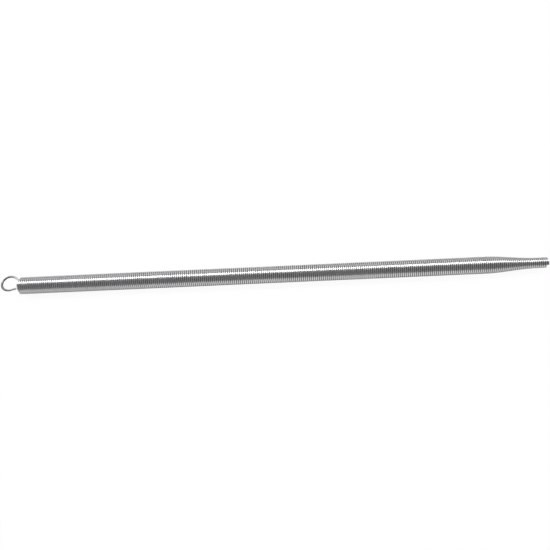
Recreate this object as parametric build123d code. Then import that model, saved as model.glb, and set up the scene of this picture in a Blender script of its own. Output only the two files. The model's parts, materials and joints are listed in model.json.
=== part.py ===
from build123d import *
import math
import os

# Pipe bending spring: one close-wound steel wire with a tapered tip and an eye.
# Millimetres.  X runs along the coil from the eye (-X) to the tip (+X), +Z is up.
# The spring lies on z = 0, and the origin is under the middle of its length.
#
# The turns touch nearly enough to make a wall.  The turns at both ends are drawn one
# by one, with the grooves between them; those between are drawn joined, as one wall.

# wire and winding
wire = 2.1               # side of the square wire, its corners rounded
turn_gap = 0.07          # air left between neighbouring turns
groove_width = 0.8       # width of the groove that two rounded corners leave
groove_depth = 0.45      # how deep that groove is
turns_drawn_at_eye = 4
turns_drawn_before_taper = 2

# coil
body_diameter = 18.9     # outside diameter that slides in the tube to be bent
nose_diameter = 11.7     # outside diameter of the leading turns
body_length = 516.0
taper_length = 57.0
nose_length = 12.0
bore_steps = 4           # straight steps of the bore along the taper

# eye, bent from the last turn, in plan
lead_run = 1.9           # straight run on past the top of the coil
exit_radius = 1.8        # first bend, off the end of the coil
exit_turn = 50.0         # degrees turned in the first bend
exit_run = 3.0           # straight run on to the loop
loop_radius = 8.7        # centreline of the loop, about that of a turn
loop_turn = 215.0        # degrees turned in the loop
return_run = 0.4         # straight run along the front of the loop
closing_radius = 6.4     # bend that brings the end back towards the coil
closing_turn = 21.0      # degrees turned in the closing bend
end_run = 6.4            # straight end of the wire, cut square
root_run = 1.0           # length of wire that stays sunk in the last turn

body_radius = body_diameter / 2
nose_radius = nose_diameter / 2
bend_radius = body_radius - wire / 2     # centreline of the wire in the straight body
coil_length = body_length + taper_length + nose_length
turn_count = round(coil_length / (wire + turn_gap))
turn_length = coil_length / turn_count


def crest_radius(x):
    """Outside radius of the coil at a distance x from its eye end."""
    along = min(max((x - body_length) / taper_length, 0.0), 1.0)
    drop = (1 - math.cos(math.pi * along)) / 2
    return body_radius + (nose_radius - body_radius) * drop


def groove_places():
    """Distances of the grooves from the eye end, with both ends of the coil."""
    last_joined = int(body_length / turn_length) - turns_drawn_before_taper
    turns = list(range(turns_drawn_at_eye + 1)) + list(range(last_joined, turn_count + 1))
    return [turn * turn_length for turn in turns]


def outside_points():
    """The flat outer faces of the turns and the grooves between them."""
    places = groove_places()
    points = []
    for start, end in zip(places, places[1:]):
        points.append((start, crest_radius(start) - groove_depth))
        for crest in (start + groove_width / 2, end - groove_width / 2):
            points.append((crest, crest_radius(crest)))
    points.append((coil_length, nose_radius - groove_depth))
    return points


def bore_points():
    """Inside of the coil, one wire below the outer faces, from the eye end to the tip."""
    points = [(0.0, body_radius - wire)]
    for step in range(bore_steps + 1):
        x = body_length + taper_length * step / bore_steps
        points.append((x, crest_radius(x) - wire))
    points.append((coil_length, nose_radius - wire))
    return points


def coil():
    """The wound part: a grooved, tapered wall turned about the X axis."""
    outline = outside_points() + list(reversed(bore_points()))
    half_section = make_face(Polyline(*outline, close=True))
    return revolve(half_section, Axis.X)


def eye_path():
    """Centreline of the eye in plan, leaving the top of the last turn along +Y."""
    root = Line((wire / 2, -root_run), (wire / 2, lead_run))
    leave = JernArc(root @ 1, root % 1, exit_radius, exit_turn)
    out = PolarLine(leave @ 1, exit_run, direction=leave % 1)
    loop = JernArc(out @ 1, out % 1, loop_radius, loop_turn)
    back = PolarLine(loop @ 1, return_run, direction=loop % 1)
    close = JernArc(back @ 1, back % 1, closing_radius, closing_turn)
    end = PolarLine(close @ 1, end_run, direction=close % 1)
    return Wire([root, leave, out, loop, back, close, end])


def eye(path):
    """The eye: the same wire, flat faces up, along its path."""
    section = Plane(origin=path @ 0, x_dir=(1, 0, 0), z_dir=path % 0) * Rectangle(wire, wire)
    return sweep(section, path=path)


def bending_spring():
    """Coil and eye as one wire, set down on z = 0."""
    path = eye_path()
    spring = coil() + Pos(0, 0, bend_radius) * eye(path)
    reach = wire / 2 - path.bounding_box().min.X
    return Pos((reach - coil_length) / 2, 0, body_radius) * spring


os.makedirs("parts", exist_ok=True)
spring = bending_spring()
export_step(spring, "parts/bending_spring.step")
print("turns", turn_count, "each", round(turn_length, 4), "volume", round(spring.volume, 1))
print("coil starts at x =", round(spring.bounding_box().max.X - coil_length, 3))
print("size", spring.bounding_box())
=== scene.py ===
import json
import math
import bmesh
import bpy
from mathutils import Matrix, Vector


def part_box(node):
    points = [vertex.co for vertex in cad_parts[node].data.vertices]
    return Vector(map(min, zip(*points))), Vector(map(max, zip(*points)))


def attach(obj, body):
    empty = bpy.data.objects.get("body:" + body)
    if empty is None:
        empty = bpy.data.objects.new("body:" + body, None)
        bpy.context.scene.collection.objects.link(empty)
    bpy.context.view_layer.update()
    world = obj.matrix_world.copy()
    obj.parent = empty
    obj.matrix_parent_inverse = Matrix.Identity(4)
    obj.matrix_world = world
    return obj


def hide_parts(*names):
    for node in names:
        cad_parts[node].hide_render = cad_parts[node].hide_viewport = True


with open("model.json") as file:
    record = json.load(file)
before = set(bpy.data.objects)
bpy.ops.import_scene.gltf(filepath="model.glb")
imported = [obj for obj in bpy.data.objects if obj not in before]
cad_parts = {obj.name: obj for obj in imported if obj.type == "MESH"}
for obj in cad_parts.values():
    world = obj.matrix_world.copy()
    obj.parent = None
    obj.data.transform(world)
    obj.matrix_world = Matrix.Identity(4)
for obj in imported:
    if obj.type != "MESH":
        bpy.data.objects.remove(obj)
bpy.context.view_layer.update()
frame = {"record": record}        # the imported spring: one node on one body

mm = 0.001
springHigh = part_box("bending_spring")[1]
straightBody = next(m for m in frame["record"]["mounts"] if m["name"] == "straight_body")

wire = {
    "side": 2.1 * mm,              # square wire, across its flats
    "outerCorner": 0.62 * mm,      # rounding of the two corners that show
    "innerCorner": 0.35 * mm,      # rounding of the two corners towards the bore
    "outerSegments": 3,
    "innerSegments": 1,
    "cutChamfer": 0.16 * mm,       # edge left round a cut end
    "cutDomed": 0.05 * mm,         # how far a cut end stands out past its chamfer
    "weld": 0.001 * mm,            # joins the eye's first ring to the coil's
    "smoothUpTo": 50,              # degrees between faces
}

coil = {
    "length": 585 * mm,
    "bodyLength": 516 * mm,        # straight part, from the eye end
    "taperLength": 57 * mm,
    "bodyRadius": straightBody["dims"]["r_mm"] * mm,
    "noseRadius": 5.85 * mm,
    "axisHeight": straightBody["pos_m"][2],
    "turns": 269.16,               # right-handed, from the eye to the tip
    "stepsPerTurn": 30,
}
coil["start"] = springHigh.x - coil["length"]

eye = {
    "stretches": (                 # straight run, then the radius and degrees of the bend after it
        (1.9 * mm, 1.8 * mm, 50),
        (3.0 * mm, 8.7 * mm, 215),
        (0.4 * mm, 6.4 * mm, 21),
        (6.4 * mm, 0, 0),
    ),
    "degreesPerStep": 6,
    "twist": 45,                   # degrees that the wire rolls over as it leaves the coil
    "twistLength": 8 * mm,         # length of wire that this takes
}

# a tone multiplies the colour, and a share says how much of a layer shows
steel = {
    "colour": (0.62, 0.62, 0.63),
    # painted shade between the turns, also the colour of the oil's specks
    "shadeAndSpeckColour": (0.03, 0.03, 0.03),
    "grooveEdges": (0.26, 0.44),   # where the painted shade in a groove starts and is full, as a share of the wire's side
    "unshadedTurn": 0.8,              # share of the first and the last turn whose outer side stays free of painted shade
    "unshadedAtEye": 10 * mm,         # length of wire next to the eye that stays free of painted shade
    "grooveRoughness": 0.20,       # added to the roughness, as for the lines and streaks
    "eyeShadeColour": (0.20, 0.20, 0.21),   # painted shade: the loop is painted darker, standing in for the dark room that its wire reflects
    "eyeShadeFade": (20 * mm, 16 * mm),     # wire over which the painted shade comes in, from the coil and from its free end
    "roughness": 0.24,
    "lineWidth": 0.09 * mm,        # drawing lines, across the wire
    "lineLength": 9 * mm,
    "lineDepth": 0.004 * mm,
    "lineTones": (0.93, 1.07),
    "lineRoughness": 0.05,
    "turnTone": 21 * mm,           # how far along the wire its finish changes
    "turnRoughness": 0.07,         # above and below
    "streakWidth": 0.35 * mm,
    "streakLength": 14 * mm,
    "streakEdges": (0.60, 0.72),
    "streakTone": 1.18,
    "streakShare": 0.35,
    "streakRoughness": 0.08,
    "patch": 20 * mm,              # size of the patches in the oil
    "filmTone": 0.86,
    "filmShare": 0.5,
    "speckShare": 0.35,
}

cut = {
    "colour": (0.66, 0.66, 0.66),
    "roughness": 0.42,
    "tearWidth": 0.12 * mm,        # shear marks on a cut end
    "tearDepth": 0.02 * mm,
    "tearLength": 2 * mm,
    "tearTones": (0.80, 1.15),
    "tearRoughness": (-0.08, 0.12),    # added to the roughness
    "patch": 3 * mm,
    "filmTone": 0.7,
    "filmShare": 0.4,
}

oil = {
    "filmEdges": (0.35, 0.68),
    "speckEdges": (0.70, 0.80),
    "speckSize": 0.02,             # as a share of a patch
}

camera = {
    "aim": (1.48 * mm, -0.66 * mm, 9.45 * mm),
    "azimuth": 2.3,
    "elevation": 60,
    "roll": -4.53,
    "distance": 0.68,
    "lens": 40.19,
    "sensor": 36,
    "clipEnd": 100,
}

light = {
    "worldLevel": 0.27,
    "panels": (                    # name, centre, length and width, brightness
        ("overheadPanel", (-0.1, 0.40, 1.5), (7.0, 0.42), 6.2),
        ("backPanel", (-0.2, 1.9, 1.05), (7.0, 1.4), 0.75),
    ),
}

floor = {
    "size": 30.0,
    "drop": 0.02 * mm,             # keeps it clear of the turns that lie on it
    "colour": (0.93, 0.93, 0.93),
    "roughness": 0.9,
    "specular": 0.1,
    "whiteSeen": 0.95,             # how much of it the camera sees as plain white
    "whiteInGloss": 0.2,           # the same for the steel
}


def onlySelect(piece):
    bpy.ops.object.select_all(action="DESELECT")
    piece.select_set(True)
    bpy.context.view_layer.objects.active = piece


def selectWhere(piece, test):
    # in edit mode: only the vertices that pass the test
    bpy.ops.mesh.select_mode(type="VERT")
    bpy.ops.mesh.select_all(action="DESELECT")
    mesh = bmesh.from_edit_mesh(piece.data)
    for vertex in mesh.verts:
        vertex.select = test(vertex)
    mesh.select_flush_mode()
    bmesh.update_edit_mesh(piece.data)


def crestRadius(x):
    along = min(max((x - coil["start"] - coil["bodyLength"]) / coil["taperLength"], 0), 1)
    drop = (1 - math.cos(math.pi * along)) / 2
    return coil["bodyRadius"] + (coil["noseRadius"] - coil["bodyRadius"]) * drop


def wireSection(centre):
    # rounded square outline on top of the coil, flat towards +Z
    bpy.ops.object.select_all(action="DESELECT")
    upright = (math.pi / 2, 0, 0)
    bpy.ops.mesh.primitive_plane_add(size=wire["side"], location=centre, rotation=upright)
    section = bpy.context.active_object
    bpy.ops.object.transform_apply(location=True, rotation=True, scale=True)
    bpy.ops.object.mode_set(mode="EDIT")
    selectWhere(section, lambda v: v.co.z > centre.z)
    bpy.ops.mesh.bevel(offset=wire["outerCorner"], segments=wire["outerSegments"], affect="VERTICES")
    selectWhere(section, lambda v: v.co.z < centre.z)
    bpy.ops.mesh.bevel(offset=wire["innerCorner"], segments=wire["innerSegments"], affect="VERTICES")
    bpy.ops.mesh.select_all(action="SELECT")
    bpy.ops.mesh.delete(type="ONLY_FACE")
    bpy.ops.object.mode_set(mode="OBJECT")
    place = section.data.attributes.new("wirePlace", "FLOAT_VECTOR", "POINT")
    for vertex, mark in zip(section.data.vertices, place.data):
        mark.vector = (vertex.co.x - centre.x, vertex.co.z - centre.z, 0)
    return section


def windCoil(section):
    # screw the outline round the axis, all turns as wide as the body's
    onlySelect(section)
    bpy.context.scene.cursor.location = (0, 0, coil["axisHeight"])
    bpy.ops.object.origin_set(type="ORIGIN_CURSOR")
    bpy.context.scene.cursor.location = (0, 0, 0)
    screw = section.modifiers.new("winding", "SCREW")
    screw.axis = "X"
    screw.angle = 2 * math.pi * coil["turns"]
    screw.screw_offset = coil["length"] - wire["side"]
    screw.steps = round(coil["turns"] * coil["stepsPerTurn"])
    screw.render_steps = screw.steps
    ringSize = len(section.data.vertices)
    bpy.ops.object.modifier_apply(modifier=screw.name)
    bpy.ops.object.transform_apply(location=True, rotation=True, scale=True)
    return ringSize


def taperCoil(section, ringSize):
    # draw the rings in along the taper, and mark how far along the wire each one is
    place = section.data.attributes["wirePlace"].data
    stepAngle = 2 * math.pi * coil["turns"] / (len(place) // ringSize - 1)
    ringLength = -stepAngle * (coil["bodyRadius"] - wire["side"] / 2)
    for index, vertex in enumerate(section.data.vertices):
        if index % ringSize == 0:
            ringLength += stepAngle * (crestRadius(vertex.co.x) - wire["side"] / 2)
        mark = place[index].vector
        place[index].vector = (mark.x, mark.y, ringLength)
        inward = coil["bodyRadius"] - crestRadius(vertex.co.x)
        if inward > 0:
            arm = Vector((0, vertex.co.y, vertex.co.z - coil["axisHeight"]))
            vertex.co -= arm.normalized() * inward
    return ringLength


def finishRing(piece, along, centre, heading, twist):
    # gives the ring just made its place along the wire, and rolls it a little
    mesh = bmesh.from_edit_mesh(piece.data)
    layer = mesh.verts.layers.float_vector["wirePlace"]
    ring = [vertex for vertex in mesh.verts if vertex.select]
    for vertex in ring:
        vertex[layer].z = along
    axis = (math.cos(heading), math.sin(heading), 0)
    bmesh.ops.rotate(mesh, verts=ring, cent=centre, matrix=Matrix.Rotation(twist, 3, axis))
    bmesh.update_edit_mesh(piece.data)


def rollOver(along, stretch):
    # how far the wire rolls over in the stretch that ends at along
    twisted = min(max(eye["twistLength"] + along + stretch, 0), stretch)
    return math.radians(eye["twist"]) * twisted / eye["twistLength"]


def bendEye(section, start):
    # lead the outline out of the top of the coil along +Y and round the eye
    onlySelect(section)
    bpy.ops.object.mode_set(mode="EDIT")
    bpy.ops.mesh.select_all(action="SELECT")
    place, heading, along = start.copy(), math.pi / 2, 0
    for run, radius, turned in eye["stretches"]:
        ahead = Vector((math.cos(heading), math.sin(heading), 0)) * run
        bpy.ops.mesh.extrude_region_move(TRANSFORM_OT_translate={"value": ahead})
        place += ahead
        along -= run
        finishRing(section, along, place, heading, rollOver(along, run))
        centre = place + Vector((-math.sin(heading), math.cos(heading), 0)) * radius
        steps = round(turned / eye["degreesPerStep"])
        step = math.radians(turned) / max(steps, 1)
        for _ in range(steps):
            # with no window, spin turns the other way
            bpy.ops.mesh.spin(steps=1, angle=-step, center=centre, axis=(0, 0, 1))
            heading += step
            along -= radius * step
            place = centre - Vector((-math.sin(heading), math.cos(heading), 0)) * radius
            finishRing(section, along, place, heading, rollOver(along, radius * step))
    bpy.ops.object.mode_set(mode="OBJECT")
    return place, Vector((math.cos(heading), math.sin(heading), 0)), -along


def closeEnd(piece, centre, outward):
    # fill a cut end, with a small chamfer round it
    selectWhere(piece, lambda v: v.is_boundary and (v.co - centre).length < wire["side"])
    bpy.ops.mesh.edge_face_add()
    out = outward * wire["cutDomed"]
    bpy.ops.mesh.extrude_region_move(TRANSFORM_OT_translate={"value": out})
    shrink = 1 - 2 * wire["cutChamfer"] / wire["side"]
    bpy.ops.transform.resize(value=(shrink, shrink, shrink), center_override=centre + out)
    bpy.context.object.active_material_index = 1
    bpy.ops.object.material_slot_assign()


def newGroup(name, inputs, outputs):
    # an effect that both finishes use, with named inputs and outputs
    tree = bpy.data.node_groups.new(name, "ShaderNodeTree")
    for label, kind, value in inputs:
        socket = tree.interface.new_socket(name=label, in_out="INPUT", socket_type=kind)
        if value is not None:
            socket.default_value = value
    for label, kind in outputs:
        tree.interface.new_socket(name=label, in_out="OUTPUT", socket_type=kind)
    return tree, tree.nodes.new("NodeGroupInput"), tree.nodes.new("NodeGroupOutput")


def maths(tree, operation, *values):
    # a Math node; numbers are set, sockets are linked
    step = tree.nodes.new("ShaderNodeMath")
    step.operation = operation
    for place, value in enumerate(values):
        if isinstance(value, (int, float)):
            step.inputs[place].default_value = value
        else:
            tree.links.new(value, step.inputs[place])
    return step.outputs[0]


def product(tree, value, by):
    return maths(tree, "MULTIPLY", value, by)


def softStep(tree, value, low, high):
    # 0 below low, 1 above high
    ramp = tree.nodes.new("ShaderNodeMapRange")
    ramp.interpolation_type = "SMOOTHSTEP"
    ramp.inputs["From Min"].default_value = low
    ramp.inputs["From Max"].default_value = high
    tree.links.new(value, ramp.inputs["Value"])
    return ramp.outputs["Result"]


def between(tree, value, low, high):
    # spreads 0 to 1 over low to high
    ramp = tree.nodes.new("ShaderNodeMapRange")
    ramp.inputs["To Min"].default_value = low
    ramp.inputs["To Max"].default_value = high
    tree.links.new(value, ramp.inputs["Value"])
    return ramp.outputs["Result"]


def noise(tree, place, detail=2.0, roughness=0.5):
    texture = tree.nodes.new("ShaderNodeTexNoise")
    texture.inputs["Scale"].default_value = 1.0
    texture.inputs["Detail"].default_value = detail
    texture.inputs["Roughness"].default_value = roughness
    tree.links.new(place, texture.inputs["Vector"])
    return texture.outputs["Fac"]


def stretched(tree, place, *cells):
    # scales a place so that one noise cell is as large as given on each axis
    parts = tree.nodes.new("ShaderNodeSeparateXYZ")
    tree.links.new(place, parts.inputs[0])
    whole = tree.nodes.new("ShaderNodeCombineXYZ")
    for axis, cell in enumerate(cells):
        tree.links.new(maths(tree, "DIVIDE", parts.outputs[axis], cell), whole.inputs[axis])
    return whole.outputs[0]


def linesGroup():
    # fine lines that run along the third axis of the place
    tree, given, made = newGroup(
        "fineLines",
        (
            ("Place", "NodeSocketVector", None),
            ("Width", "NodeSocketFloat", steel["lineWidth"]),
            ("Length", "NodeSocketFloat", steel["lineLength"]),
        ),
        (("Lines", "NodeSocketFloat"),),
    )
    width, length = given.outputs["Width"], given.outputs["Length"]
    place = stretched(tree, given.outputs["Place"], width, width, length)
    lines = noise(tree, place, detail=3.0, roughness=0.6)
    tree.links.new(lines, made.inputs["Lines"])
    return tree


def filmGroup():
    # the thin, patchy film of oil that bright steel is sold with
    tree, given, made = newGroup(
        "oilFilm",
        (("Place", "NodeSocketVector", None), ("Patch", "NodeSocketFloat", steel["patch"])),
        (("Film", "NodeSocketFloat"), ("Specks", "NodeSocketFloat")),
    )
    patch = given.outputs["Patch"]
    place = given.outputs["Place"]
    film = noise(tree, stretched(tree, place, patch, patch, patch), detail=3.0, roughness=0.55)
    speck = product(tree, patch, oil["speckSize"])
    specks = noise(tree, stretched(tree, place, speck, speck, speck), detail=1.0)
    tree.links.new(softStep(tree, film, *oil["filmEdges"]), made.inputs["Film"])
    tree.links.new(softStep(tree, specks, *oil["speckEdges"]), made.inputs["Specks"])
    return tree


def placed(tree, group, place, **values):
    node = tree.nodes.new("ShaderNodeGroup")
    node.node_tree = group
    tree.links.new(place, node.inputs["Place"])
    for label, value in values.items():
        node.inputs[label].default_value = value
    return node.outputs


def mixed(tree, factor, low, high):
    # low and high are colours, or sockets that carry one
    mix = tree.nodes.new("ShaderNodeMix")
    mix.data_type = "RGBA"
    tree.links.new(factor, mix.inputs["Factor"])
    for label, value in (("A", low), ("B", high)):
        socket = next(s for s in mix.inputs if s.name == label and s.type == "RGBA")
        if isinstance(value, tuple):
            socket.default_value = (*value, 1)
        else:
            tree.links.new(value, socket)
    return next(s for s in mix.outputs if s.type == "RGBA")


def toned(colour, factor):
    return tuple(min(1, c * factor) for c in colour)


def newMetal(name):
    material = bpy.data.materials.new(name)
    material.use_nodes = True
    tree = material.node_tree
    shader = tree.nodes["Principled BSDF"]
    shader.inputs["Metallic"].default_value = 1
    return material, tree, shader


def bumped(tree, shader, height, depth):
    bump = tree.nodes.new("ShaderNodeBump")
    bump.inputs["Distance"].default_value = depth
    bump.inputs["Strength"].default_value = 1.0
    tree.links.new(height, bump.inputs["Height"])
    tree.links.new(bump.outputs["Normal"], shader.inputs["Normal"])


def grooveShadeMask(tree, across, along, wireLength):
    # painted shade on the sides that face the next turn, where the turns shade each other; the eye and both
    # end faces of the coil stay free of it
    side = wire["side"]
    firstTurn = 2 * math.pi * (coil["bodyRadius"] - side / 2)
    lastTurn = 2 * math.pi * (coil["noseRadius"] - side / 2)
    starts, full = (side * share for share in steel["grooveEdges"])
    fromTurn = softStep(tree, along, firstTurn * steel["unshadedTurn"], firstTurn)
    toTurn = softStep(tree, along, wireLength - lastTurn * steel["unshadedTurn"], wireLength - lastTurn)
    onCoil = softStep(tree, along, 0, steel["unshadedAtEye"])
    towardsEye = product(tree, softStep(tree, across, -starts, -full), fromTurn)
    towardsTip = product(tree, softStep(tree, across, starts, full), product(tree, onCoil, toTurn))
    return maths(tree, "ADD", towardsEye, towardsTip)


def rubbedStreaks(tree, lines, objectPlace):
    # streaks along the spring, from the tubes it has been through
    turned = tree.nodes.new("ShaderNodeVectorRotate")
    turned.rotation_type = "Y_AXIS"
    turned.inputs["Angle"].default_value = math.pi / 2  # puts the length of the spring on the third axis
    tree.links.new(objectPlace, turned.inputs["Vector"])
    streaks = placed(tree, lines, turned.outputs[0], Width=steel["streakWidth"], Length=steel["streakLength"])
    return softStep(tree, streaks["Lines"], *steel["streakEdges"])


def springSteel(lines, film, wireLength, eyeLength):
    material, tree, shader = newMetal("springSteel")
    attribute = tree.nodes.new("ShaderNodeAttribute")
    attribute.attribute_name = "wirePlace"             # across the wire, out from the coil, along the wire
    wirePlace = attribute.outputs["Vector"]
    objectPlace = tree.nodes.new("ShaderNodeTexCoord").outputs["Object"]
    parts = tree.nodes.new("ShaderNodeSeparateXYZ")
    tree.links.new(wirePlace, parts.inputs[0])
    across, outward, along = parts.outputs

    drawn = placed(tree, lines, wirePlace, Width=steel["lineWidth"], Length=steel["lineLength"])["Lines"]
    oiled = placed(tree, film, objectPlace, Patch=steel["patch"])
    turnTone = noise(tree, stretched(tree, wirePlace, 1.0, 1.0, steel["turnTone"]), detail=1.0)
    # painted shade where the turns shade each other
    grooveShade = grooveShadeMask(tree, across, along, wireLength)
    streak = rubbedStreaks(tree, lines, objectPlace)
    # painted shade round the eye, coming in from the coil and from the free end
    fromCoil, fromEnd = steel["eyeShadeFade"]
    pastCoil = softStep(tree, along, 0, -fromCoil)
    beforeEnd = softStep(tree, along, -eyeLength, fromEnd - eyeLength)
    eyeShade = product(tree, pastCoil, beforeEnd)

    colour = mixed(tree, drawn, *(toned(steel["colour"], tone) for tone in steel["lineTones"]))
    for mask, layer in (
        (product(tree, oiled["Film"], steel["filmShare"]), toned(steel["colour"], steel["filmTone"])),
        (product(tree, streak, steel["streakShare"]), toned(steel["colour"], steel["streakTone"])),
        (product(tree, oiled["Specks"], steel["speckShare"]), steel["shadeAndSpeckColour"]),
        # painted shade between the turns
        (grooveShade, steel["shadeAndSpeckColour"]),
        # painted shade round the eye
        (eyeShade, steel["eyeShadeColour"]),
    ):
        colour = mixed(tree, mask, colour, layer)
    tree.links.new(colour, shader.inputs["Base Color"])

    varies = steel["turnRoughness"]
    rough = between(tree, turnTone, steel["roughness"] - varies, steel["roughness"] + varies)
    for mask, added in (
        (drawn, steel["lineRoughness"]),
        (streak, steel["streakRoughness"]),
        (grooveShade, steel["grooveRoughness"]),
    ):
        rough = maths(tree, "ADD", rough, product(tree, mask, added))
    tree.links.new(rough, shader.inputs["Roughness"])
    bumped(tree, shader, drawn, steel["lineDepth"])
    return material


def cutSteel(lines, film):
    material, tree, shader = newMetal("cutSteel")
    objectPlace = tree.nodes.new("ShaderNodeTexCoord").outputs["Object"]
    torn = placed(tree, lines, objectPlace, Width=cut["tearWidth"], Length=cut["tearLength"])["Lines"]
    oiled = placed(tree, film, objectPlace, Patch=cut["patch"])
    colour = mixed(tree, torn, *(toned(cut["colour"], tone) for tone in cut["tearTones"]))
    filmed = toned(cut["colour"], cut["filmTone"])
    colour = mixed(tree, product(tree, oiled["Film"], cut["filmShare"]), colour, filmed)
    tree.links.new(colour, shader.inputs["Base Color"])
    smoothest, roughest = (cut["roughness"] + varies for varies in cut["tearRoughness"])
    tree.links.new(between(tree, torn, smoothest, roughest), shader.inputs["Roughness"])
    bumped(tree, shader, torn, cut["tearDepth"])
    return material


def coilTip():
    # centre of the cut end at the nose, and the way that it faces
    angle = math.pi / 2 + 2 * math.pi * coil["turns"]
    arm = Vector((0, math.cos(angle), math.sin(angle)))
    onAxis = Vector((springHigh.x - wire["side"] / 2, 0, coil["axisHeight"]))
    return onAxis + arm * (coil["noseRadius"] - wire["side"] / 2), Vector((1, 0, 0)).cross(arm)


def whiteForCamera(tree, shader):
    # the camera sees the floor as nearly plain white, and its shadows a little
    white = tree.nodes.new("ShaderNodeEmission")
    ray = tree.nodes.new("ShaderNodeLightPath").outputs
    inGloss = maths(tree, "MAXIMUM", ray["Is Glossy Ray"], ray["Is Transmission Ray"])
    shown = maths(tree, "MAXIMUM", product(tree, inGloss, floor["whiteInGloss"]),
                  product(tree, ray["Is Camera Ray"], floor["whiteSeen"]))
    mix = tree.nodes.new("ShaderNodeMixShader")
    tree.links.new(shown, mix.inputs["Fac"])
    tree.links.new(shader.outputs["BSDF"], mix.inputs[1])
    tree.links.new(white.outputs["Emission"], mix.inputs[2])
    tree.links.new(mix.outputs["Shader"], tree.nodes["Material Output"].inputs["Surface"])


def palePaper():
    paper = bpy.data.materials.new("palePaper")
    paper.use_nodes = True
    shader = paper.node_tree.nodes["Principled BSDF"]
    shader.inputs["Base Color"].default_value = (*floor["colour"], 1)
    shader.inputs["Roughness"].default_value = floor["roughness"]
    shader.inputs["Specular IOR Level"].default_value = floor["specular"]
    whiteForCamera(paper.node_tree, shader)
    return paper


def addPanel(name, centre, size, level):
    # a soft light panel of even brightness, long side along X, turned to the spring
    bpy.ops.object.select_all(action="DESELECT")
    bpy.ops.object.light_add(type="AREA", location=centre)
    panel = bpy.context.active_object
    panel.name = name
    panel.data.shape = "RECTANGLE"
    panel.data.size, panel.data.size_y = size
    panel.data.energy = level * math.pi * size[0] * size[1]
    back = Vector(centre).normalized()
    side = Vector((1, 0, 0)) - back * back.x
    side.normalize()
    turned = Matrix((side, back.cross(side), back)).transposed().to_4x4()
    panel.matrix_world = Matrix.Translation(centre) @ turned
    panel.visible_camera = False


# the wire: coil and eye made from the same outline, then joined
windingRadius = coil["bodyRadius"] - wire["side"] / 2
start = Vector((coil["start"] + wire["side"] / 2, 0, coil["axisHeight"] + windingRadius))
springWire = wireSection(start)
eyeWire = wireSection(start)
springWire.name = "spring_wire"
ringSize = windCoil(springWire)
coilWireLength = taperCoil(springWire, ringSize)
freeEnd, freeHeading, eyeWireLength = bendEye(eyeWire, start)
onlySelect(springWire)
eyeWire.select_set(True)
bpy.ops.object.join()
bpy.ops.object.mode_set(mode="EDIT")
bpy.ops.mesh.select_all(action="SELECT")
bpy.ops.mesh.remove_doubles(threshold=wire["weld"])
lines, film = linesGroup(), filmGroup()
springWire.data.materials.clear()
springWire.data.materials.append(springSteel(lines, film, coilWireLength, eyeWireLength))
springWire.data.materials.append(cutSteel(lines, film))
closeEnd(springWire, freeEnd, freeHeading)
closeEnd(springWire, *coilTip())
bpy.ops.mesh.select_all(action="SELECT")
bpy.ops.mesh.normals_make_consistent(inside=False)
bpy.ops.object.mode_set(mode="OBJECT")
bpy.ops.object.shade_smooth_by_angle(angle=math.radians(wire["smoothUpTo"]))
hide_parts("bending_spring")
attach(springWire, "root")
triangles = sum(len(face.vertices) - 2 for face in springWire.data.polygons)
print("spring wire:", coil["turns"], "turns,", triangles, "triangles")
print("wire in the coil:", round(coilWireLength, 2), "m")


# floor
bpy.ops.object.select_all(action="DESELECT")
bpy.ops.mesh.primitive_plane_add(size=floor["size"], location=(0, 0, 0))
ground = bpy.context.active_object
ground.name = "floor"
ground.location.z = -floor["drop"]
bpy.ops.object.transform_apply(location=True, rotation=True, scale=True)
ground.data.materials.append(palePaper())
print("floor")


# light
for panel in light["panels"]:
    addPanel(*panel)
world = bpy.data.worlds.new("room")
bpy.context.scene.world = world
world.use_nodes = True
world.node_tree.nodes["Background"].inputs["Color"].default_value = (1, 1, 1, 1)
world.node_tree.nodes["Background"].inputs["Strength"].default_value = light["worldLevel"]
print("light")


# camera
azimuth, elevation = math.radians(camera["azimuth"]), math.radians(camera["elevation"])
level = math.cos(elevation)
back = Vector((math.sin(azimuth) * level, -math.cos(azimuth) * level, math.sin(elevation)))
rolled = Matrix.Rotation(math.radians(camera["roll"]), 3, "Z")
turned = (-back).to_track_quat("-Z", "Y").to_matrix() @ rolled
place = Vector(camera["aim"]) + back * camera["distance"]
bpy.ops.object.camera_add(location=place, rotation=turned.to_euler())
viewer = bpy.context.active_object
viewer.name = "camera"
viewer.data.lens = camera["lens"]
viewer.data.sensor_width = camera["sensor"]
viewer.data.clip_end = camera["clipEnd"]
bpy.context.scene.camera = viewer
bpy.context.scene.view_settings.view_transform = "Standard"
print("camera")
